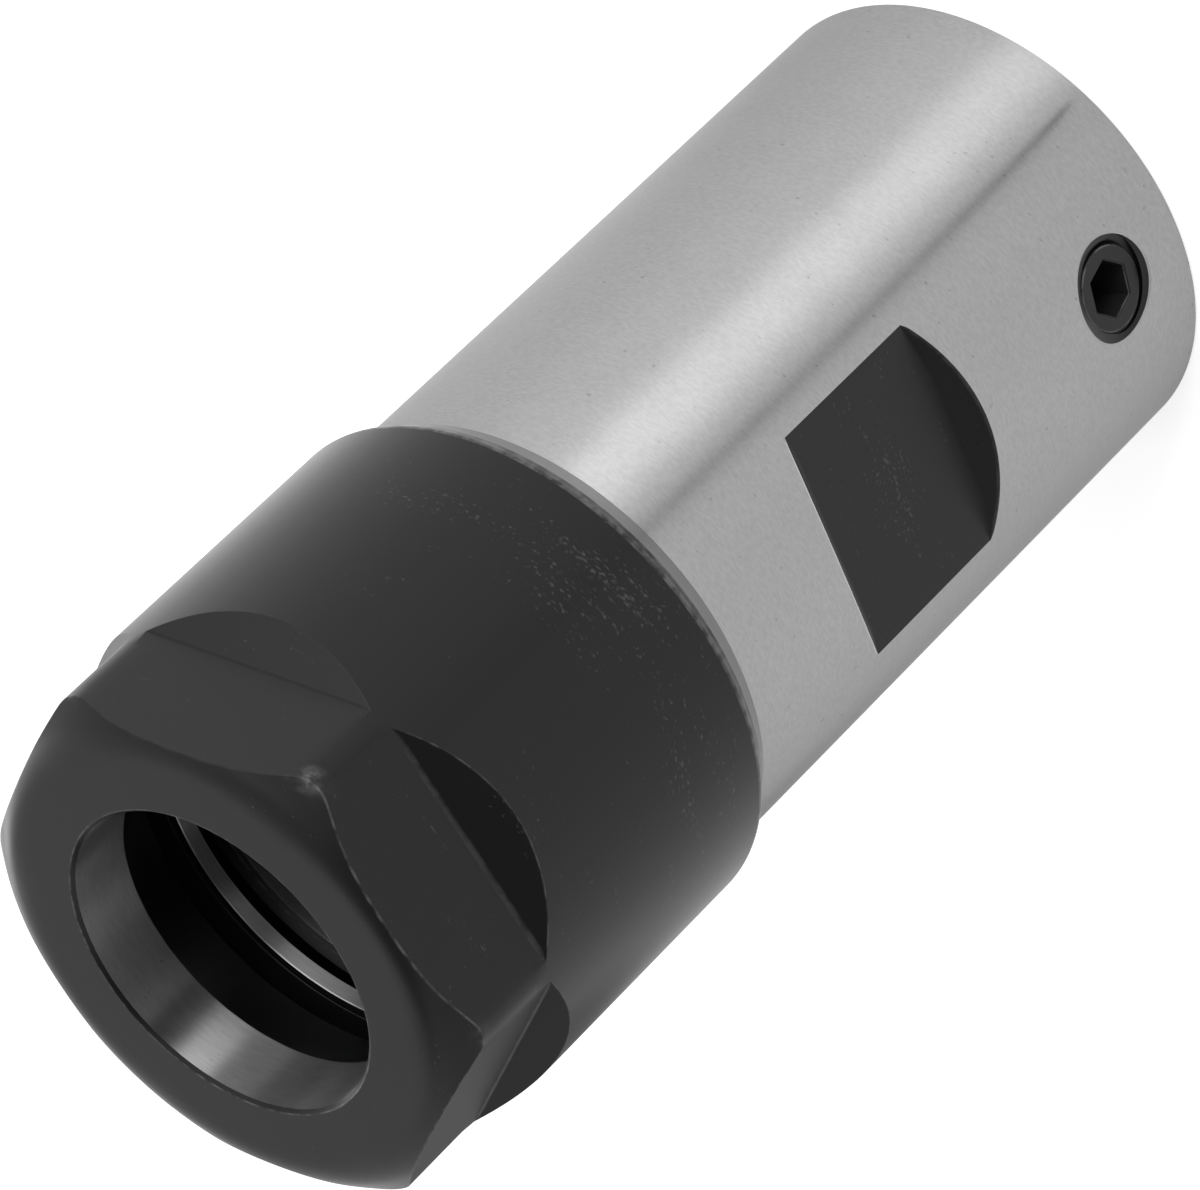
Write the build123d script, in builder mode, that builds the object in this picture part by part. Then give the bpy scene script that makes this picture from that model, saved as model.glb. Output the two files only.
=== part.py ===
"""Collet chuck holder: a ground body on a motor shaft, with a screwed clamping nut.

It stands on the rear end of its shank, with the collet side up. The origin is the
centre of the rear end face and +Z runs along the axis towards the nut. The wrench
recess and the grub screw that are seen from the front face -Y. Millimetres.
"""

from math import radians, tan
import os

from build123d import *

# Collet socket, at the front of the body
collet_mouth_radius = 10.5
collet_taper_angle = 8.0
collet_taper_length = 26.0
mouth_break = 0.2
socket_relief_step = 0.6
socket_relief_length = 2.8

# Thread M24 x 1 that carries the nut, as plain cylinders over its crests
nose_wall = 1.45
thread_length = 12.5
thread_play = 0.05
nose_break = 0.45
thread_relief_depth = 0.7
thread_relief_width = 1.6

# Shank
shank_length = 36.3
shoulder_step = 0.55
rear_break = 0.2
shaft_bore_radius = 6.0
shaft_bore_break = 0.5

# Wrench recesses, one on each side
recess_depth = 1.49
recess_flat_length = 9.27
recess_below_shoulder = 9.27
recess_end_angle = 41.0

# Grub screws
screw_height = 5.5
screw_hole_radius = 2.55
screw_play = 0.05
screw_sunk = 0.3
screw_tip_gap = 0.2
screw_face_break = 0.4
screw_tip_break = 0.7
screw_cup_radius = 1.2
screw_cup_depth = 0.5
socket_across_flats = 2.5
socket_depth = 2.4
socket_turn = -12.0

# Clamping nut
nut_seat_gap = 0.1
nut_wall = 1.53
nut_mouth_radius = 8.08
nut_mouth_length = 3.605
nut_mouth_break = 0.18
clamp_cone_angle = 30.0
clamp_cone_inset = 0.2
groove_width = 1.8
groove_step = 0.49
lip_inset = 0.2
lip_offset = 0.4
lip_width = 0.9
lip_direction = 122.0
nose_gap = 1.05
nut_relief_step = 0.35
nut_relief_width = 1.9
nut_lead_in = 0.2

# Nut, outside
flat_depth = 1.53
flat_length = 6.2
flat_end_angle = 50.0
flat_count = 6
flat_turn = 43.2
front_chamfer_width = 1.53
front_chamfer_angle = 42.5
front_blend = 2.6
back_chamfer_length = 1.45
back_chamfer_depth = 0.93

# Radii, worked out from the socket outwards
thread_radius = collet_mouth_radius + nose_wall
nut_thread_radius = thread_radius + thread_play
shank_radius = thread_radius + shoulder_step
nut_radius = nut_thread_radius + nut_wall
lip_radius = collet_mouth_radius - lip_inset
groove_radius = lip_radius + lip_offset + groove_step
cone_end_radius = collet_mouth_radius - clamp_cone_inset
taper_end_radius = collet_mouth_radius - collet_taper_length * tan(radians(collet_taper_angle))
socket_relief_radius = taper_end_radius + socket_relief_step

# Heights, worked out from the rear face upwards
nose_z = shank_length + thread_length
taper_end_z = nose_z - collet_taper_length
shaft_bore_end_z = taper_end_z - socket_relief_length
nut_back_z = shank_length + nut_seat_gap
lip_back_z = nose_z + nose_gap
lip_front_z = lip_back_z + lip_width
groove_front_z = lip_front_z + groove_width
cone_front_z = groove_front_z + (cone_end_radius - nut_mouth_radius) / tan(radians(clamp_cone_angle))
nut_front_z = cone_front_z + nut_mouth_length

os.makedirs("parts", exist_ok=True)

# Chuck body: turned and ground in one piece
with BuildPart() as chuck_body:
    with BuildSketch(Plane.XZ):
        with BuildLine():
            Polyline(
                (shaft_bore_radius + shaft_bore_break, 0),
                (shank_radius - rear_break, 0),
                (shank_radius, rear_break),
                (shank_radius, shank_length),
                (thread_radius - thread_relief_depth, shank_length),
                (thread_radius - thread_relief_depth, shank_length + thread_relief_width),
                (thread_radius, shank_length + thread_relief_width + thread_relief_depth),
                (thread_radius, nose_z - nose_break),
                (thread_radius - nose_break, nose_z),
                (collet_mouth_radius + mouth_break, nose_z),
                (collet_mouth_radius, nose_z - mouth_break),
                (taper_end_radius, taper_end_z),
                (socket_relief_radius, taper_end_z),
                (socket_relief_radius, shaft_bore_end_z),
                (shaft_bore_radius, shaft_bore_end_z),
                (shaft_bore_radius, shaft_bore_break),
                close=True,
            )
        make_face()
    revolve(axis=Axis.Z)

    # Wrench recesses: a flat with sloping ends, cut across the shank on both sides
    recess_top_z = shank_length - recess_below_shoulder
    recess_bottom_z = recess_top_z - recess_flat_length
    recess_flat_y = shank_radius - recess_depth
    cut_height = 2 * recess_depth
    end_run = cut_height * tan(radians(recess_end_angle))
    with BuildSketch(Plane.YZ) as recess_profile:
        with BuildLine():
            Polyline(
                (-recess_flat_y, recess_bottom_z),
                (-recess_flat_y, recess_top_z),
                (-recess_flat_y - cut_height, recess_top_z + end_run),
                (-recess_flat_y - cut_height, recess_bottom_z - end_run),
                close=True,
            )
        make_face()
        mirror(about=Plane.YZ)
    extrude(amount=shank_radius, both=True, mode=Mode.SUBTRACT)

    # Tapped holes for the grub screws, straight through both walls
    with BuildSketch(Plane.XZ):
        with Locations((0, screw_height)):
            Circle(screw_hole_radius)
    extrude(amount=2 * shank_radius, both=True, mode=Mode.SUBTRACT)

chuck_body.part.label = "chuck_body"
export_step(chuck_body.part, "parts/chuck_body.step")

# One milled flat of the nut: its end wall slopes out to the collar
flat_radius = nut_radius - flat_depth
flat_end_z = nut_front_z - flat_length
cutter_reach = 2 * flat_depth
with BuildPart() as flat_cutter:
    with BuildSketch(Plane.XZ):
        with BuildLine():
            Polyline(
                (flat_radius, flat_end_z),
                (flat_radius, nut_front_z + flat_length),
                (flat_radius + cutter_reach, nut_front_z + flat_length),
                (flat_radius + cutter_reach, flat_end_z - cutter_reach * tan(radians(flat_end_angle))),
                close=True,
            )
        make_face()
    extrude(amount=nut_radius, both=True)

# Clamping nut: turned, milled and blackened, with a ground mouth
front_face_radius = nut_radius - front_chamfer_width
front_chamfer_drop = front_chamfer_width * tan(radians(front_chamfer_angle))
with BuildPart() as clamping_nut:
    with BuildSketch(Plane.XZ):
        with BuildLine():
            Polyline(
                (nut_mouth_radius + nut_mouth_break, nut_front_z),
                (front_face_radius, nut_front_z),
                (nut_radius, nut_front_z - front_chamfer_drop),
                (nut_radius, nut_back_z + back_chamfer_length),
                (nut_radius - back_chamfer_depth, nut_back_z),
                (nut_thread_radius + nut_lead_in, nut_back_z),
                (nut_thread_radius, nut_back_z + nut_lead_in),
                (nut_thread_radius, lip_back_z - nut_relief_width),
                (nut_thread_radius + nut_relief_step, lip_back_z - nut_relief_width),
                (nut_thread_radius + nut_relief_step, lip_back_z),
                (lip_radius - lip_offset, lip_back_z),
                (lip_radius - lip_offset, lip_front_z),
                (groove_radius, lip_front_z),
                (groove_radius, groove_front_z),
                (cone_end_radius, groove_front_z),
                (nut_mouth_radius, cone_front_z),
                (nut_mouth_radius, nut_front_z - nut_mouth_break),
                close=True,
            )
        make_face()
    revolve(axis=Axis.Z)
    front_rims = edges().filter_by(GeomType.CIRCLE).group_by(Axis.Z)[-1]
    fillet(front_rims.sort_by(SortBy.RADIUS)[-1], front_blend)

    # Eccentric bore of the pull-out lip
    with BuildSketch(Plane.XY.offset(lip_back_z - nose_gap)):
        with PolarLocations(lip_offset, 1, start_angle=lip_direction):
            Circle(lip_radius)
    extrude(amount=nose_gap + lip_width + groove_width / 2, mode=Mode.SUBTRACT)

    # Six flats for the spanner
    with PolarLocations(0, flat_count, start_angle=flat_turn):
        add(flat_cutter.part, mode=Mode.SUBTRACT)

clamping_nut.part.label = "clamping_nut"
export_step(clamping_nut.part, "parts/clamping_nut.step")


def grub_screw(outward):
    """Headless screw along the outward direction: hexagon socket outside, cup point inside."""
    axis_plane = Plane(origin=(0, 0, screw_height), x_dir=(1, 0, 0), z_dir=outward)
    tip = shaft_bore_radius + screw_tip_gap
    face = shank_radius - screw_sunk
    with BuildPart() as screw:
        with BuildSketch(axis_plane.offset(tip)):
            Circle(screw_hole_radius - screw_play)
        extrude(amount=face - tip)
        rims = edges().filter_by(GeomType.CIRCLE).sort_by(Axis(axis_plane.origin, axis_plane.z_dir))
        chamfer(rims[0], screw_tip_break)
        chamfer(rims[-1], screw_face_break)
        with BuildSketch(axis_plane.offset(tip)):
            Circle(screw_cup_radius)
        extrude(amount=screw_cup_depth, taper=45, mode=Mode.SUBTRACT)
        with BuildSketch(axis_plane.offset(face)):
            RegularPolygon(socket_across_flats / 2, 6, major_radius=False, rotation=socket_turn)
        extrude(amount=-socket_depth, mode=Mode.SUBTRACT)
    return screw.part


for screw_name, outward in (("grub_screw_front", (0, -1, 0)), ("grub_screw_back", (0, 1, 0))):
    screw_part = grub_screw(outward)
    screw_part.label = screw_name
    export_step(screw_part, f"parts/{screw_name}.step")
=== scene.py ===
"""Collet chuck holder: a ground body for a motor shaft, with a blackened clamping nut.

The chuck stands on the rear end of its shank, as in the CAD frame: +Z runs along its
axis to the collet side, and the wrench recess and grub screw in view face -Y.
"""
from math import cos, pi, radians, sin, tan

import bmesh
import bpy
import numpy as np
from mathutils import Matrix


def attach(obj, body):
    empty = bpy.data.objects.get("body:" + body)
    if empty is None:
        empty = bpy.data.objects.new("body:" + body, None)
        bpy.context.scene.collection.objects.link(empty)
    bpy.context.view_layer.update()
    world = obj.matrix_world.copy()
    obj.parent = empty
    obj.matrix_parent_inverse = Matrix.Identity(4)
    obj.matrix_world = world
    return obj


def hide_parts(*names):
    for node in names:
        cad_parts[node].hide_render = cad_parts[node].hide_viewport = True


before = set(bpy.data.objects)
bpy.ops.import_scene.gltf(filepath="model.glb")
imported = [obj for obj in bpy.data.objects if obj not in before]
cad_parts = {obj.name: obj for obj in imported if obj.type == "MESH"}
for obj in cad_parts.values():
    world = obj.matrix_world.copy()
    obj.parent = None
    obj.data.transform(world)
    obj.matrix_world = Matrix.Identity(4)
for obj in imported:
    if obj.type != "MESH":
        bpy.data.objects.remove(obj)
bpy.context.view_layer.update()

mm = 0.001


# Chuck body: one piece of steel, turned, milled and blackened, then ground bright on the
# shank and in the collet taper. The recesses, thread and cross holes keep the black. The
# steel from the nose face in to the bore, and at the holes' inner ends, is drawn darker:
# painted shade.

def cross_section(profile, columns, arc_steps=4):
    """Cross-section rows from a profile's corners, one column per angle.

    profile names each corner as (radius, height, rounding, steps). An arc that touches
    both sides replaces each corner: it starts rounding * tan(half the turn) before it,
    and its points are (a(1-s)^2 + 2cws(1-s) + bs^2) / ((1-s)^2 + 2ws(1-s) + s^2), with c
    the corner and w the cosine of half the turn. The run after it gets that many steps.
    Returns rows of (radius, height), each point's wear, and each row's corner name.
    """
    names, points = list(profile), list(profile.values())
    corner = np.array([[np.broadcast_to(p[k], columns) for k in (0, 1)] for p in points], float)
    corner = np.moveaxis(corner, 1, -1)
    before = corner - np.roll(corner, 1, 0)
    after = np.roll(corner, -1, 0) - corner
    length_before = np.maximum(np.linalg.norm(before, axis=-1), 1e-9)
    length_after = np.maximum(np.linalg.norm(after, axis=-1), 1e-9)
    before = before / length_before[..., None]
    after = after / length_after[..., None]
    half_turn = np.arccos(np.clip((before * after).sum(-1), -1, 1)) / 2
    convex = before[..., 0] * after[..., 1] - before[..., 1] * after[..., 0] > 0
    room = 0.45 * np.minimum(length_before, length_after)
    rounding = np.array([p[2] for p in points], float)[:, None]
    reach = np.minimum(rounding * np.tan(np.minimum(half_turn, 1.4)), room)
    start = corner - reach[..., None] * before
    end = corner + reach[..., None] * after
    rows, wear_and_highlight, run = [], [], []
    for k, point in enumerate(points):
        weight = np.cos(half_turn[k])[:, None]
        wear = np.clip(half_turn[k] / radians(12), 0, 1) * convex[k]
        for s in (np.linspace(0, 1, arc_steps + 1) if point[2] > 0 else [0.5]):
            total = (1 - s) ** 2 + 2 * weight * s * (1 - s) + s * s
            bent = start[k] * (1 - s) ** 2 + 2 * weight * s * (1 - s) * corner[k] + end[k] * s * s
            rows.append(bent / total)
            wear_and_highlight.append(wear * (point[2] > 0))
            run.append(names[k])
        following = (k + 1) % len(points)
        span = np.linalg.norm(start[following] - end[k], axis=-1)
        near = np.minimum(0.25, 0.05 / np.maximum(span, 1e-6))[:, None]
        steps = np.linspace(0, 1, point[3] + 1)[1:-1]
        for s in [near] * (point[2] > 0) + list(steps) + [1 - near] * (points[following][2] > 0):
            rows.append(end[k] * (1 - s) + start[following] * s)
            wear_and_highlight.append(0 * wear)
            run.append(names[k])
    return np.array(rows), np.array(wear_and_highlight), np.array(run)


def thread_depth(turns):
    """Depth of a 60 degree thread under its crests, in pitches, for a place counted in turns.

    It is the distance from the crest's flat edge over tan 30, at most 0.5413: flats of an
    eighth of a pitch on the crests and a quarter in the roots.
    """
    from_crest = np.abs((turns + 0.5) % 1 - 0.5)
    return np.clip((from_crest - 1 / 16) / tan(radians(30)), 0, 0.5413)


def thread_rows(low, high, pitch, crest, angle, downwards=False):
    """Rows that follow a helix between two heights, one column per angle.

    Each row keeps its place on the thread's outline: height = low + pitch * (place + angle
    / 2 pi), held between low and high, and radius = crest - depth there.
    """
    places = np.array([0.0625, 0.375, 0.625, 0.9375])
    turns = int(np.ceil(np.max(high - low) / pitch)) + 1
    place = (np.arange(-2, turns)[:, None] + places).ravel()
    height = np.clip(low + pitch * (place[:, None] + angle / (2 * pi)), low, high)
    radius = crest - pitch * thread_depth((height - low) / pitch - angle / (2 * pi))
    rows = np.stack([radius, height], -1)
    return rows[::-1] if downwards else rows


def with_thread(rows, wear_and_highlight, run, place, helical):
    """The rows of a cross-section with a thread's rows put in before one of them."""
    rows = np.concatenate([rows[:place], helical, rows[place:]])
    wear_and_highlight = np.concatenate([wear_and_highlight[:place], np.zeros(helical.shape[:2]), wear_and_highlight[place:]])
    run = np.concatenate([run[:place], np.full(len(helical), "thread"), run[place:]])
    return rows, wear_and_highlight, run


def turned(rows, angle):
    """Points of rows of (radius, height) at their columns' angles round Z."""
    return np.stack([rows[..., 0] * np.cos(angle), rows[..., 0] * np.sin(angle), rows[..., 1]], -1)


def ring_faces(rows, columns, closed, helix=(0, 0, 0)):
    """Four-sided faces of a grid that closes round its columns, and its rows if closed.

    In the rows first..last of a helix, the seam joins each row to the one shift further.
    """
    row = np.arange(rows)
    seam = row.copy()
    first, last, shift = helix
    if shift:
        inside = (row >= first) & (row <= last)
        seam[inside] = np.clip(row[inside] + shift, first, last)
    index = row[:, None] * columns + np.arange(columns)
    beside = np.roll(index, -1, 1)
    beside[:, -1] = seam * columns
    up, up_beside = np.roll(index, -1, 0), np.roll(beside, -1, 0)
    faces = np.stack([index, beside, up_beside, up], -1)
    return faces if closed else faces[:-1]


def build_piece(name, points, faces, finish_of_face, finishes, body, node, marks):
    """Mesh object from points in millimetres, with doubles merged and creases left sharp.

    finishes are its materials, and marks are its amounts of wear, scuffing and painted highlight by
    attribute name.
    """
    used, faces = np.unique(faces, return_inverse=True)
    faces = faces.reshape(-1, 4)
    mesh = bpy.data.meshes.new(name)
    mesh.from_pydata((points[used] * mm).tolist(), [], faces.tolist())
    mesh.polygons.foreach_set("material_index", np.asarray(finish_of_face, np.int32))
    for mark, amount in marks.items():
        attribute = mesh.attributes.new(mark, "FLOAT", "POINT")
        attribute.data.foreach_set("value", np.ravel(amount)[used].astype(np.float32))
    edit = bmesh.new()
    edit.from_mesh(mesh)
    bmesh.ops.remove_doubles(edit, verts=edit.verts, dist=0.002 * mm)
    bmesh.ops.dissolve_degenerate(edit, edges=edit.edges, dist=0.001 * mm)
    edit.to_mesh(mesh)
    edit.free()
    mesh.polygons.foreach_set("use_smooth", np.ones(len(mesh.polygons), bool))
    mesh.set_sharp_from_angle(angle=radians(28))
    for finish in finishes:
        mesh.materials.append(finish)
    piece = bpy.data.objects.new(name, mesh)
    bpy.context.scene.collection.objects.link(piece)
    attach(piece, body)
    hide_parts(node)


class Wire:
    """A socket that takes part in sums and products, as in 0.2 + mask * 0.5."""

    def __init__(self, tree, socket):
        self.tree = tree
        self.socket = socket

    def maths(self, operation, *values):
        node = self.tree.nodes.new("ShaderNodeMath")
        node.operation = operation
        for socket, value in zip(node.inputs, values):
            if isinstance(value, Wire):
                self.tree.links.new(value.socket, socket)
            else:
                socket.default_value = value
        return Wire(self.tree, node.outputs[0])

    def __add__(self, other):
        return self.maths("ADD", self, other)

    def __sub__(self, other):
        return self.maths("SUBTRACT", self, other)

    def __mul__(self, other):
        return self.maths("MULTIPLY", self, other)

    def above(self, low, high):
        """0 below low, 1 above high, and straight in between."""
        share = self.maths("MAXIMUM", (self - low) * (1 / (high - low)), 0.0)
        return self.maths("MINIMUM", share, 1.0)

    __radd__ = __add__


class Finish:
    """A surface finish: a material and the one way its nodes are made."""

    def __init__(self, name):
        self.material = bpy.data.materials.new(name)
        self.material.use_nodes = True
        self.tree = self.material.node_tree
        self.tree.nodes.clear()

    def node(self, kind, settings=None, sockets=None, output=0):
        node = self.tree.nodes.new(kind)
        for name, value in (settings or {}).items():
            setattr(node, name, value)
        for name, value in (sockets or {}).items():
            if isinstance(value, Wire):
                self.tree.links.new(value.socket, node.inputs[name])
            else:
                node.inputs[name].default_value = value
        return Wire(self.tree, node.outputs[output]) if node.outputs else None

    def noise(self, place, scale, stretch=(1, 1, 1), detail=2.0):
        """Noise in features per metre, stretched along an axis by a small factor there."""
        sockets = {"Vector": place, "Scale": stretch}
        spread = self.node("ShaderNodeMapping", {"vector_type": "POINT"}, sockets)
        return self.node("ShaderNodeTexNoise", None, {"Vector": spread, "Scale": scale, "Detail": detail})

    def around(self, place):
        """Object coordinates bent round Z: metres along a 13 mm ring, radius and height."""
        x, y, z = (self.node("ShaderNodeSeparateXYZ", None, {0: place}, k) for k in range(3))
        along = x.maths("ARCTAN2", y, x) * 0.013
        radius = x.maths("SQRT", x * x + y * y)
        return self.node("ShaderNodeCombineXYZ", None, {0: along, 1: radius, 2: z})

    def blend(self, share, plain, other):
        sockets = {0: share, 6: plain, 7: other}
        return self.node("ShaderNodeMix", {"data_type": "RGBA"}, sockets, output=2)

    def close(self, **sockets):
        names = {name.replace("_", " "): value for name, value in sockets.items()}
        shader = self.node("ShaderNodeBsdfPrincipled", None, names)
        self.node("ShaderNodeOutputMaterial", None, {"Surface": shader})
        return self.material


def grey(level):
    return (level, level, level, 1.0)


def ground_steel(name, level, roughness, anisotropy, rim, fineness=0.4):
    """Bright steel ground round its axis, so that highlights stretch along the axis.

    rim is how much of its gloss is left where it is seen edge-on, and fineness how short
    the tool's marks are for their width.
    """
    steel = Finish(name)
    ring = steel.around(steel.node("ShaderNodeTexCoord", output=3))
    grain = steel.noise(ring, 7500, (fineness, 1, 1), 2.0)
    cloud = steel.noise(ring, 420, (0.6, 1, 1), 3.0)
    nick = steel.noise(ring, 3300, (0.7, 1, 1), 1.0).above(0.74, 0.80)
    lightness = (grain * 0.75 + cloud * 0.25).above(0.35, 0.65)
    shade = steel.blend(lightness, grey(level * 0.93), grey(level * 1.05))
    colour = steel.blend(nick * 0.5, shade, grey(level * 0.45))
    return steel.close(Base_Color=colour, Metallic=1.0, Roughness=roughness - 0.03 + cloud * 0.06,
                       Anisotropic=anisotropy, Anisotropic_Rotation=0.25, Specular_Tint=grey(rim))


def black_oxide(name, level, roughness):
    """Steel boiled black: a dark satin skin whose black wears through to grey on its edges.

    Where it is scuffed, short light scratches lie in bands round its axis. The same grey also
    paints highlight on the nut: a light line in its flats' inner corners and a glint on one
    front edge.
    """
    black = Finish(name)
    place = black.node("ShaderNodeTexCoord", output=3)
    ring = black.around(place)
    wear_and_highlight = black.node("ShaderNodeAttribute", {"attribute_name": "wear_and_highlight"}, output=2)
    scuffed = black.node("ShaderNodeAttribute", {"attribute_name": "scuffed"}, output=2)
    patch = black.noise(place, 1500, detail=3.0).above(0.40, 0.62)
    dash = black.noise(ring, 6000, (0.6, 1, 1), 1.0) * 0.6 + black.noise(ring, 1300, (0.14, 1, 1), 2.0) * 0.4
    scratch = (dash + scuffed * 0.10).above(0.66, 0.76)
    edge = wear_and_highlight * (patch * 0.23 + 0.034)
    rub_and_highlight = edge.maths("MAXIMUM", edge, scratch * 0.12)
    colour = black.blend(rub_and_highlight, grey(level), grey(0.30))
    return black.close(Base_Color=colour, Metallic=0.0, Roughness=roughness, Specular_IOR_Level=0.21)


bright = ground_steel("ground_steel", 0.36, 0.37, 0.93, 0.62)
# Painted shade: a darker copy of the ground steel for the nose face, taper, bore and the holes' inner ends.
shaded_bore_steel = ground_steel("bore_steel_painted_shade", 0.17, 0.40, 0.9, 0.5)
# Painted highlight: a lighter copy of the ground steel for the recesses' front rims.
rim_steel_painted_highlight = ground_steel("rim_steel_painted_highlight", 0.5, 0.5, 0.2, 0.8)
black = black_oxide("black_oxide", 0.006, 0.325)

bright_finish, black_finish, bore_shade_finish, rim_highlight_finish = range(4)

shank_radius = 12.5
shank_length = 36.33
rear_break = 0.15
bore_radius, bore_break = 6.0, 0.5
bore_end, taper_end = 20.0, 22.8
taper_end_radius, socket_relief_radius = 6.846, 7.446
taper_front_radius, taper_break = 10.5, 0.2
thread_relief_radius, thread_relief_end = 11.25, 37.9
nose_front, nose_face_radius = 48.8, 11.5
recess_flat = 11.0
recess_low, recess_high = 17.76, 27.03
recess_slope = tan(radians(41))
hole_height = 5.5
hole_radius = 2.55
hole_break = 0.12
hole_thread_end = 10.0
screw_pitch = 0.8
screw_thread_low = 6.7
socket_turn = -12.0
nut_pitch = 1.0
thread_crest = 11.95
thread_low, thread_high = 38.6, 48.35
window_low, window_high, window_steps = 1.2, 10.0, 22
window_half = 30.5

# Columns of angles, measured from the middle of each recess and denser along its edges
edge = np.degrees(np.arccos(recess_flat / shank_radius))
beside_edge = np.array([-1.2, -0.5, -0.2, -0.06, 0.06, 0.2, 0.5, 1.2])
half = np.concatenate([np.linspace(0, edge - 2, 18), edge + beside_edge, np.linspace(edge + 2.6, 90, 38)])
half = np.concatenate([-half[:0:-1], half[:-1]])
angle = np.radians(np.concatenate([-90 + half, 90 + half]))
off_middle = np.radians(np.concatenate([half, half]))
columns = len(angle)
window = np.flatnonzero(np.abs(half) <= window_half)

inset = np.maximum(shank_radius - recess_flat / np.cos(off_middle), 0)
recess_radius = shank_radius - inset
recess_rise = recess_slope * inset * np.cos(off_middle)
body_outside = {
    "rear_face": (bore_radius + bore_break, 0, 0.05, 6),
    "rear_chamfer": (shank_radius - rear_break, 0, 0.08, 1),
    "rear_band": (shank_radius, rear_break, 0.08, 1),
    "shank_window": (shank_radius, window_low, 0, window_steps),
    "shank": (shank_radius, window_high, 0, 4),
    "recess_rear_wall": (shank_radius, recess_low - recess_rise, 0.2, 3),
    "recess_floor": (recess_radius, recess_low, 1.3, 6),
    "recess_front_wall": (recess_radius, recess_high, 0.6, 3),
    "shank_front": (shank_radius, recess_high + recess_rise, 0.15, 6),
    "shoulder": (shank_radius, shank_length, 0.05, 2),
    "thread_relief": (thread_relief_radius, shank_length, 0.3, 2),
    "nose": (thread_relief_radius, thread_relief_end, 0.2, 1),
}
body_inside = {
    "nose_face": (nose_face_radius, nose_front, 0.05, 2),
    "mouth_break": (taper_front_radius + taper_break, nose_front, 0.05, 1),
    "taper": (taper_front_radius, nose_front - taper_break, 0.05, 20),
    "taper_step": (taper_end_radius, taper_end, 0, 1),
    "socket_relief": (socket_relief_radius, taper_end, 0.1, 2),
    "relief_step": (socket_relief_radius, bore_end, 0.1, 1),
    "bore": (bore_radius, bore_end, 0.1, 4),
    "bore_window": (bore_radius, window_high, 0, window_steps),
    "bore_rear": (bore_radius, window_low, 0, 1),
    "bore_break": (bore_radius, bore_break, 0.05, 1),
}
rows, wear_and_highlight, run = cross_section({**body_outside, **body_inside}, columns)
helical = thread_rows(thread_low, thread_high, nut_pitch, thread_crest, angle)
place = int(np.flatnonzero(run == "nose")[-1])
rows, wear_and_highlight, run = with_thread(rows, wear_and_highlight, run, place, helical)
points = turned(rows, angle)
faces = ring_faces(len(rows), columns, True, (place, place + len(helical) - 1, 4))
finish = np.full(faces.shape[:2], bright_finish)
in_recess = (np.abs(off_middle) < radians(edge)) & (np.roll(np.abs(off_middle), -1) < radians(edge))
recess = np.isin(run, ("recess_rear_wall", "recess_floor", "recess_front_wall"))
finish[recess[:, None] & in_recess] = black_finish
finish[np.isin(run, ("shoulder", "thread_relief", "nose", "thread", "mouth_break"))] = black_finish
finish[np.isin(run, list(body_inside)) & (run != "mouth_break")] = bore_shade_finish
# Painted highlight: the rounded front rim of each recess gets the lighter steel.
recess_rim = np.flatnonzero(run == "shank_front")[:4]
finish[np.ix_(recess_rim, np.flatnonzero(in_recess))] = rim_highlight_finish
wear_and_highlight[run == "recess_rear_wall"] *= 0.2


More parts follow.
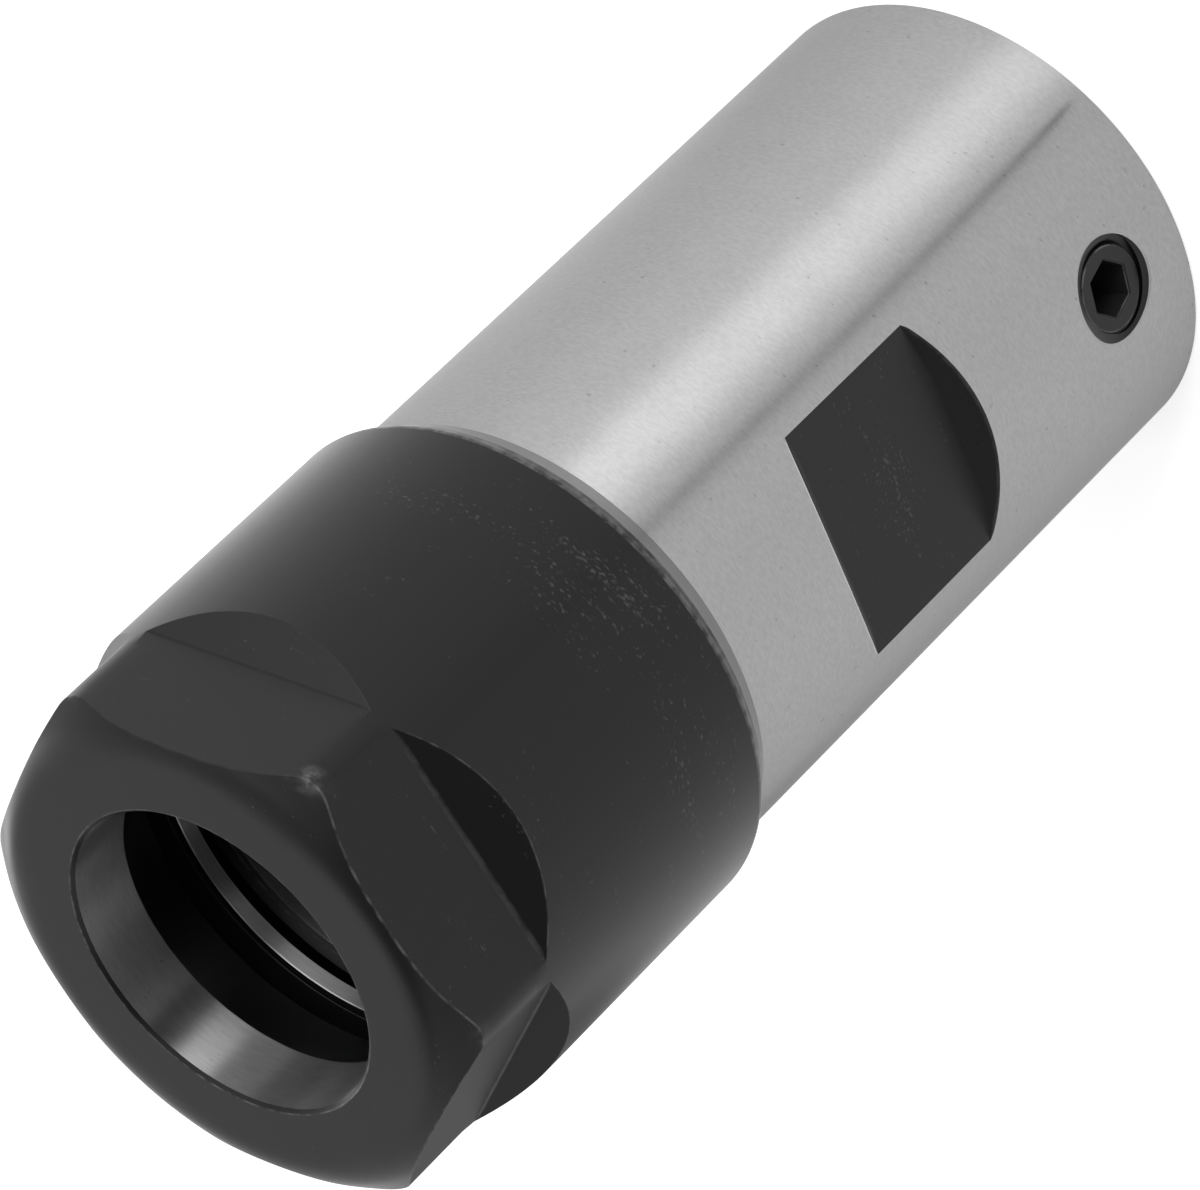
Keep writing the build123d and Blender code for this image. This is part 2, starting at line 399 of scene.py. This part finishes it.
def cross_hole(points, run, side):
    """The tapped hole through one wall, as a sleeve of rings from outside to the bore.

    A square window of the grid on the shank and one in the bore are bent to the hole: a
    ring at share s lies at (1-s) * window + s * circle in the plane across the hole, and
    on the cylinder along it. Between them the wall is a thread round the hole's axis, in
    step with the screw's. It fades out 2.3 mm down, so that the screw's slide, which
    leaves out its turning, crosses no ridge at the inner end.
    Returns the windows' faces to leave out, the new points, and the sleeve's faces with
    their finishes.
    """
    out = np.array([0, -1, 0]) if side == 0 else np.array([0, 1, 0])
    along = np.array([1, 0, 0]) if side == 0 else np.array([-1, 0, 0])
    column = window + side * len(half)
    outer_row = np.flatnonzero(run == "shank_window")[0] + np.arange(window_steps + 1)
    bore_row = np.flatnonzero(run == "bore_window")[0] + np.arange(window_steps, -1, -1)

    def frame_of(row):
        grid = row[:, None] * columns + column
        return np.concatenate([grid[0, :-1], grid[:-1, -1], grid[-1, :0:-1], grid[:0:-1, 0]])

    rim, inside = frame_of(outer_row), frame_of(bore_row)
    start = points[rim] - [0, 0, hole_height]
    turn = np.unwrap(np.arctan2(start[:, 2], start @ along))
    circle = np.stack([np.cos(turn), np.sin(turn)])

    def rings(border, cylinder, radius, shares):
        edge_points = points[border] - [0, 0, hole_height]
        flat_edge = np.stack([edge_points @ along, edge_points[:, 2]])
        for s in shares:
            across = (1 - s) * flat_edge + s * radius * circle
            yield across, np.sqrt(cylinder ** 2 - across[0] ** 2)

    shares = [0.3, 0.6, 0.8, 0.92, 1]
    sleeve = list(rings(rim, shank_radius, hole_radius + hole_break, shares))
    surface = np.sqrt(shank_radius ** 2 - (hole_radius * circle[0]) ** 2)
    sleeve.append(((hole_radius + hole_break / 4) * circle, surface - hole_break / 2))
    first = len(sleeve)
    from_screw = turn - turn[0] + (turn[0] - radians(socket_turn)) % (2 * pi)
    top = surface - hole_break
    wall = thread_rows(screw_thread_low, top, screw_pitch, hole_radius, from_screw, downwards=True)
    fade = np.clip((wall[..., 1] - hole_thread_end) / 0.3, 0, 1)
    wall[..., 0] = hole_radius - fade * (hole_radius - wall[..., 0])
    sleeve += [(radius * circle, height) for radius, height in zip(wall[..., 0], wall[..., 1])]
    sleeve += list(rings(inside, bore_radius, hole_radius, shares[::-1]))
    across = np.array([ring[0] for ring in sleeve])
    reach = np.array([ring[1] for ring in sleeve])
    new = across[:, 0, :, None] * along + reach[..., None] * out
    new[..., 2] += across[:, 1] + hole_height
    count = len(turn)
    index = len(points) + np.arange(new.shape[0] * count).reshape(-1, count)
    index = np.concatenate([rim[None], index, inside[None]])
    faces = ring_faces(len(index), count, False, (first + 1, first + len(wall), -4))
    dropped = np.zeros((len(run), columns), bool)
    dropped[np.ix_(outer_row[:-1], column[:-1])] = True
    dropped[np.ix_(bore_row[1:], column[:-1])] = True
    sleeve_finish = np.full(faces.shape[:2], bright_finish)
    sleeve_finish[first:-len(shares)] = black_finish
    sleeve_finish[-len(shares):] = bore_shade_finish
    return dropped, new.reshape(-1, 3), index.ravel()[faces], sleeve_finish


def bell(distance, width):
    """exp(-(distance / width)^2): 1 in the middle and 0.37 at the width."""
    return np.exp(-(distance / width) ** 2)


points, wear_and_highlight = points.reshape(-1, 3), wear_and_highlight.ravel()
keep = np.ones(faces.shape[:2], bool)
sleeves, sleeve_finishes = [], []
for side in (0, 1):
    dropped, new, sleeve, sleeve_finish = cross_hole(points, run, side)
    keep &= ~dropped
    points = np.concatenate([points, new])
    wear_and_highlight = np.concatenate([wear_and_highlight, np.zeros(len(new))])
    sleeves.append(sleeve.reshape(-1, 4))
    sleeve_finishes.append(sleeve_finish.ravel())
faces = np.concatenate([faces[keep]] + sleeves)
finish = np.concatenate([finish[keep]] + sleeve_finishes)

# Scratches lie across the middle of the recess in view, on its floor only
x, y, z = points.T
scuffed = 1.3 * bell(z - 22.2, 1.5) * bell(x - 0.5, 4)
scuffed *= (np.hypot(x, y) < shank_radius - 0.1) & (y < 0.1 - recess_flat)
build_piece("chuck_body_skin", points, faces, finish, [bright, black, shaded_bore_steel, rim_steel_painted_highlight],
            "body", "chuck_body", {"wear_and_highlight": wear_and_highlight, "scuffed": scuffed})


# Clamping nut: turned and milled from bar, blackened all over, then ground in its mouth and
# turned bright on its back chamfer. Its lip is ground steel drawn much lighter than the rest
# of the mouth: painted highlight. It screws on the body's nose and has six spanner flats.

nut_radius = 13.53
nut_back, nut_front = 36.36, 60.0
back_face_radius, collar_start = 12.6, 37.85
bright_end, rubbed_end = 37.3, 37.9
nut_flat = 12.0
flat_end = 53.8
flat_slope = tan(radians(50))
flat_bearing = 43.2
face_radius = 12.0
chamfer_angle = radians(42.5)
face_blend = 2.6
mouth_radius, mouth_break = 8.08, 0.18
mouth_end, cone_end_radius = 56.395, 10.3
groove_radius, groove_back, groove_front = 11.19, 50.75, 52.55
lip_radius, lip_offset, lip_direction = 10.3, 0.4, radians(122)
lip_back = 49.85
runout_radius = 12.35
nut_thread_crest, lead_in = 12.0, 0.2
nut_thread_low, nut_thread_high = 36.6, 47.85

nut_edge = np.degrees(np.arccos(nut_flat / nut_radius))
beside_edge = np.array([-0.9, -0.45, -0.2, -0.07, 0.07, 0.2, 0.45, 1.0, 1.8])
sixth = np.concatenate([np.linspace(-nut_edge + 1.5, nut_edge - 1.5, 33), nut_edge + beside_edge, [30.0]])
sixth = np.concatenate([-(nut_edge + beside_edge)[::-1], sixth])
angle = np.radians(np.concatenate([flat_bearing + 60 * k + sixth for k in range(6)]))
off_middle = np.radians(np.tile(sixth, 6))
columns = len(angle)


def softly_less(first, second, softness):
    """The smaller of two, eased over the crossing: -k log(exp(-a/k) + exp(-b/k))."""
    least = np.minimum(first, second)
    return least - softness * np.log1p(np.exp(-np.abs(first - second) / softness))


def front_height(radius):
    """Height of the front: flat, then an arc of the blend's radius, then the chamfer's cone."""
    arc_start = face_radius - face_blend * tan(chamfer_angle / 2)
    arc_end = arc_start + face_blend * sin(chamfer_angle)
    arc = nut_front - face_blend + np.sqrt(np.maximum(face_blend ** 2 - (radius - arc_start) ** 2, 0))
    cone = nut_front - (radius - face_radius) * tan(chamfer_angle)
    return np.where(radius < arc_start, nut_front, np.where(radius < arc_end, arc, cone))


def off_bearing(bearing, middle):
    """Degrees from a direction round the axis, between -180 and 180."""
    return (bearing - middle + 180) % 360 - 180


hard_flat = nut_flat / np.cos(off_middle)
cut_radius = np.minimum(hard_flat, nut_radius)
flat_drop = flat_slope * (nut_radius - cut_radius) * np.cos(off_middle)
flat_radius = softly_less(hard_flat, nut_radius + 0 * off_middle, 0.11)
lip = lip_offset * np.cos(angle - lip_direction)
lip = lip + np.sqrt(lip_radius ** 2 - (lip_offset * np.sin(angle - lip_direction)) ** 2)
nut_outside = {
    "back_face": (nut_thread_crest + lead_in, nut_back, 0.04, 1),
    "back_chamfer": (back_face_radius, nut_back, 0.04, 4),
    "collar": (nut_radius, collar_start, 0.6, 12),
    "flat_end_wall": (nut_radius, flat_end - flat_drop, 0.05, 3),
    "flat_corner": (cut_radius, flat_end, 0.35, 2),
    "flat": (flat_radius, flat_end + 0.9, 0.8, 4),
    "front_rim": (flat_radius, front_height(flat_radius), 0.08, 1),
}
front_inner = 8.27
for share in (0.95, 0.9, 0.85, 0.79, 0.72, 0.62, 0.5, 0.37, 0.24, 0.12):
    radius = front_inner + share * (flat_radius - front_inner)
    nut_outside[f"front_at_{share}"] = (radius, front_height(radius), 0, 1)
nut_inside = {
    "mouth_break": (mouth_radius + mouth_break, nut_front, 0.04, 1),
    "mouth": (mouth_radius, nut_front - mouth_break, 0, 6),
    "clamp_cone": (mouth_radius, mouth_end, 0.06, 8),
    "cone_step": (cone_end_radius, groove_front, 0, 1),
    "groove": (groove_radius, groove_front, 0.1, 2),
    "lip_front": (groove_radius, groove_back, 0.1, 1),
    "lip": (lip, groove_back, 0.05, 2),
    "lip_back": (lip, lip_back, 0.05, 1),
    "runout": (runout_radius, lip_back, 0.05, 2),
    "thread_end": (runout_radius, nut_thread_high + 0.1, 0, 1),
}
rows, wear_and_highlight, run = cross_section({**nut_outside, **nut_inside}, columns)
helical = thread_rows(nut_thread_low, nut_thread_high, nut_pitch, nut_thread_crest, angle, downwards=True)
place = len(rows) - 1
rows, wear_and_highlight, run = with_thread(rows, wear_and_highlight, run, place, helical)
faces = ring_faces(len(rows), columns, True, (place, place + len(helical) - 1, -4))

# Wear: the black is thin along the flats' rims and gone in spots at the front corners and
# along the back chamfer. One flat gets only faint rim lines. A light line in the other
# flats' inner corners is painted highlight, and a bright spot on one front edge is a
# painted glint.
radius, height = rows[..., 0], rows[..., 1]
bearing = np.degrees(angle)
faint_edged_flat, painted_glint_bearing, scuffed_side = flat_bearing - 60, -45.0, -70.0
on_faint_edged_flat = np.abs(off_bearing(bearing, faint_edged_flat)) < 27
rim_wear = np.where(on_faint_edged_flat, 0.12, 1.0)
cut_depth = np.clip((nut_radius - cut_radius) / 0.3, 0, 1)
wear_and_highlight[run == "flat_end_wall"] *= 0.6 * cut_depth * rim_wear
# Painted highlight: a light line along each flat's inner corner, left off one flat.
in_corner = (run == "flat_corner")[:, None] & (np.abs(height - flat_end) < 0.15)
wear_and_highlight = np.maximum(wear_and_highlight, 0.18 * in_corner * cut_depth * ~on_faint_edged_flat)
wear_and_highlight[run == "front_rim"] *= 0.7 * rim_wear
on_front = np.abs(height - front_height(radius)) < 0.12
front_edge = on_front * bell(radius - 13.42, 0.16)
for k in range(6):
    wear_and_highlight += 0.5 * front_edge * bell(off_bearing(bearing, flat_bearing + 30 + 60 * k), 2.2)
# Painted glint: a bright spot on the front edge at this bearing.
wear_and_highlight += 2.2 * front_edge * bell(off_bearing(bearing, painted_glint_bearing), 1.6)
behind = np.isin(run, ("back_chamfer", "collar"))[:, None]
wear_and_highlight = np.maximum(wear_and_highlight, 1.2 * behind * np.clip((rubbed_end - height) / 0.5, 0, 1))
scuffed = bell(height - 40.8, 3.2) * (radius > nut_radius - 0.13)
scuffed = scuffed * (bell(off_bearing(bearing, scuffed_side), 42) + 0.1)

on_back = (run == "back_chamfer") & (height[:, 0] < bright_end)
finish = np.select([run == "mouth", run == "lip", on_back], [1, 2, 3], 0)
finish = np.broadcast_to(finish[:, None], faces.shape[:2])
ground_mouth = ground_steel("ground_mouth", 0.33, 0.34, 1.0, 0.5, 0.1)
# Painted highlight: the lip's steel is drawn more than twice as light as the mouth's.
lip_steel_painted_highlight = ground_steel("lip_steel_painted_highlight", 0.75, 0.36, 1.0, 0.6, 0.1)
turned_back = ground_steel("turned_back", 0.24, 0.34, 0.9, 0.7, 0.03)
build_piece("clamping_nut_skin", turned(rows, angle).reshape(-1, 3), faces.reshape(-1, 4),
            finish.ravel(), [black, ground_mouth, lip_steel_painted_highlight, turned_back],
            "nut", "clamping_nut", {"wear_and_highlight": wear_and_highlight, "scuffed": scuffed})


# Grub screws: M5 by 6 mm, headless, with a hexagon socket at the outer end and a cup point
# at the inner one. They are blackened, and clamp the motor shaft from both sides.

screw_tip, screw_face = 6.2, 12.2
screw_crest = 2.5
face_rim = 2.08
socket_flat = 1.25
socket_low, drill_point, cup_top = 9.8, 9.1, 6.9
core = 0.02

angle = np.radians(np.arange(72) * 5 + socket_turn)
columns = len(angle)
past_corner = (np.degrees(angle) - socket_turn) % 60
socket_radius = socket_flat / np.cos(np.radians(past_corner - 30))
screw_profile = {
    "run_in": (2.05, screw_tip + 0.35, 0, 1),
    "face": (face_rim, screw_face, 0.05, 3),
    "socket_break": (socket_radius * 1.06, screw_face, 0, 1),
    "socket": (socket_radius, screw_face - 0.08, 0.03, 4),
    "socket_end": (socket_radius, socket_low, 0.05, 2),
    "axis": (core, drill_point, 0, 1),
    "cup": (core, cup_top, 0, 1),
    "tip": (1.2, screw_tip, 0, 1),
    "tip_chamfer": (1.8, screw_tip, 0.05, 1),
}
rows, wear_and_highlight, run = cross_section(screw_profile, columns)
helical = thread_rows(screw_thread_low, screw_face - 0.05, screw_pitch, screw_crest, angle - angle[0])
face_chamfer = face_rim + 1.2 * (screw_face - helical[..., 1])
helical[..., 0] = np.minimum(helical[..., 0], face_chamfer)
rows, wear_and_highlight, run = with_thread(rows, wear_and_highlight, run, 1, helical)
faces = ring_faces(len(rows), columns, True, (1, len(helical), 4)).reshape(-1, 4)
across, up, along = np.moveaxis(turned(rows, angle), -1, 0)
screw_black = black_oxide("screw_steel", 0.012, 0.45)
for screw, body, side in (("grub_screw_front", "front_screw", -1), ("grub_screw_back", "back_screw", 1)):
    points = np.stack([-side * across, side * along, hole_height + up], -1).reshape(-1, 3)
    build_piece(screw + "_skin", points, faces, np.zeros(len(faces)), [screw_black],
                body, screw, {"wear_and_highlight": wear_and_highlight})


# Studio: a white floor and surroundings, two lamps on the camera's left, two small ones for
# the far edges, a spot on the floor behind, and dark cards that the steel mirrors. A grey
# sheet on the floor, seen only in reflections, is a painted shadow of the chuck. The camera
# repeats the photograph's point of view and its roll.

ambient = 0.62
floor_glow = 0.55

floor_mesh = bpy.data.meshes.new("floor")
floor_mesh.from_pydata([(-3, -3, 0), (3, -3, 0), (3, 3, 0), (-3, 3, 0)], [], [(0, 1, 2, 3)])
floor = bpy.data.objects.new("floor", floor_mesh)
bpy.context.scene.collection.objects.link(floor)


def seen_white(tree):
    """1 for rays from the camera, off gloss or through glass, else 0."""
    path = tree.nodes.new("ShaderNodeLightPath")
    seen = Wire(tree, path.outputs["Is Camera Ray"])
    for name in ("Is Glossy Ray", "Is Transmission Ray"):
        seen = seen.maths("MAXIMUM", seen, Wire(tree, path.outputs[name]))
    return seen


paper = Finish("white_floor")
matt = paper.node("ShaderNodeBsdfDiffuse", None, {"Color": grey(0.8)})
glow_strength = seen_white(paper.tree) * floor_glow
glow = paper.node("ShaderNodeEmission", None, {"Color": grey(1.0), "Strength": glow_strength})
both = paper.node("ShaderNodeAddShader", None, {0: matt, 1: glow})
paper.node("ShaderNodeOutputMaterial", None, {"Surface": both})
floor_mesh.materials.append(paper.material)

world = bpy.data.worlds.new("white_surroundings")
world.use_nodes = True
sky = world.node_tree.nodes["Background"]
sky.inputs["Color"].default_value = grey(1.0)
strength = seen_white(world.node_tree) * (1 - ambient) + ambient
world.node_tree.links.new(strength.socket, sky.inputs["Strength"])
bpy.context.scene.world = world


def facing(azimuth, elevation, distance):
    """Place and turn of something that faces the chuck's middle from a direction."""
    around, up = radians(azimuth), radians(elevation)
    away = np.array([cos(up) * cos(around), cos(up) * sin(around), sin(up)])
    return away * distance + [0, 0, 0.03], (pi / 2 - up, 0, around + pi / 2)


def lamp(name, azimuth, elevation, distance, width, height, level):
    """Softbox aimed at the chuck's middle, as bright as level times a white wall."""
    light = bpy.data.lights.new(name, "AREA")
    light.shape = "RECTANGLE"
    light.size, light.size_y = width, height
    light.energy = level * pi * width * height
    holder = bpy.data.objects.new(name, light)
    holder.location, holder.rotation_euler = facing(azimuth, elevation, distance)
    bpy.context.scene.collection.objects.link(holder)


lamp("low_lamp", -26, 12, 0.8, 0.32, 0.30, 7.5)
lamp("wide_lamp", -14, 35, 0.8, 0.92, 0.28, 3.0)
spot = bpy.data.lights.new("floor_spot", "SPOT")
spot.energy, spot.spot_size, spot.spot_blend, spot.shadow_soft_size = 6.0, 2 * 0.068, 0.3, 0.01
spot_holder = bpy.data.objects.new("floor_spot", spot)
spot_holder.location = (0, 0.049, 0.5)
bpy.context.scene.collection.objects.link(spot_holder)
lamp("rim_lamp", 99, 11, 0.45, 0.17, 0.13, 4.0)
lamp("upper_lamp", 19, 67, 0.7, 0.28, 0.17, 1.1)


def dark_card(name, place, turn, width, height, far_height=None, level=0.01):
    """Dark card that stands where a surface should mirror no white, out of the picture."""
    mesh = bpy.data.meshes.new(name)
    x, y, far = width / 2, height / 2, (far_height or height) / 2
    mesh.from_pydata([(-x, -y, 0), (x, -far, 0), (x, far, 0), (-x, y, 0)], [], [(0, 1, 2, 3)])
    card = bpy.data.objects.new(name, mesh)
    card.location = place
    card.rotation_euler = turn
    card.visible_camera = False
    card.visible_diffuse = False
    bpy.context.scene.collection.objects.link(card)
    mesh.materials.append(Finish(name).close(Base_Color=grey(level), Roughness=1.0))
    return card


dark_card("front_card", *facing(-101, 47, 0.7), 0.44, 0.42)
dark_card("lamp_flap", *facing(-52, 26, 0.78), 0.24, 0.80, level=0.25)
dark_card("overhead_card", (-0.075, -0.103, 0.65), (0, 0, radians(-55)), 1.14, 0.24)
dark_card("left_card", *facing(171, 10, 0.8), 0.36, 0.36)
# Painted shadow: a grey sheet on the floor where the chuck's own shadow falls, seen only in reflections.
painted_floor_shadow = dark_card("painted_floor_shadow", (-0.131, 0.050, 0.0004), (0, 0, radians(159)), 0.134, 0.06, 0.14,
                       level=0.40)
painted_floor_shadow.visible_shadow = False
strip = dark_card("table_strip", (0.187, -0.248, 0.0005), (0, 0, radians(-53)), 0.594, 0.0003, 0.036)
strip.visible_shadow = False

camera = bpy.data.cameras.new("camera")
camera.sensor_width = 36.0
camera.lens = 232.976
viewer = bpy.data.objects.new("camera", camera)
viewer.location = (0.152941, -0.245060, 0.239479)
viewer.rotation_euler = (radians(-44.0804), radians(35.5538), radians(-117.0341))
bpy.context.scene.collection.objects.link(viewer)
bpy.context.scene.camera = viewer
bpy.context.scene.view_settings.view_transform = "Standard"
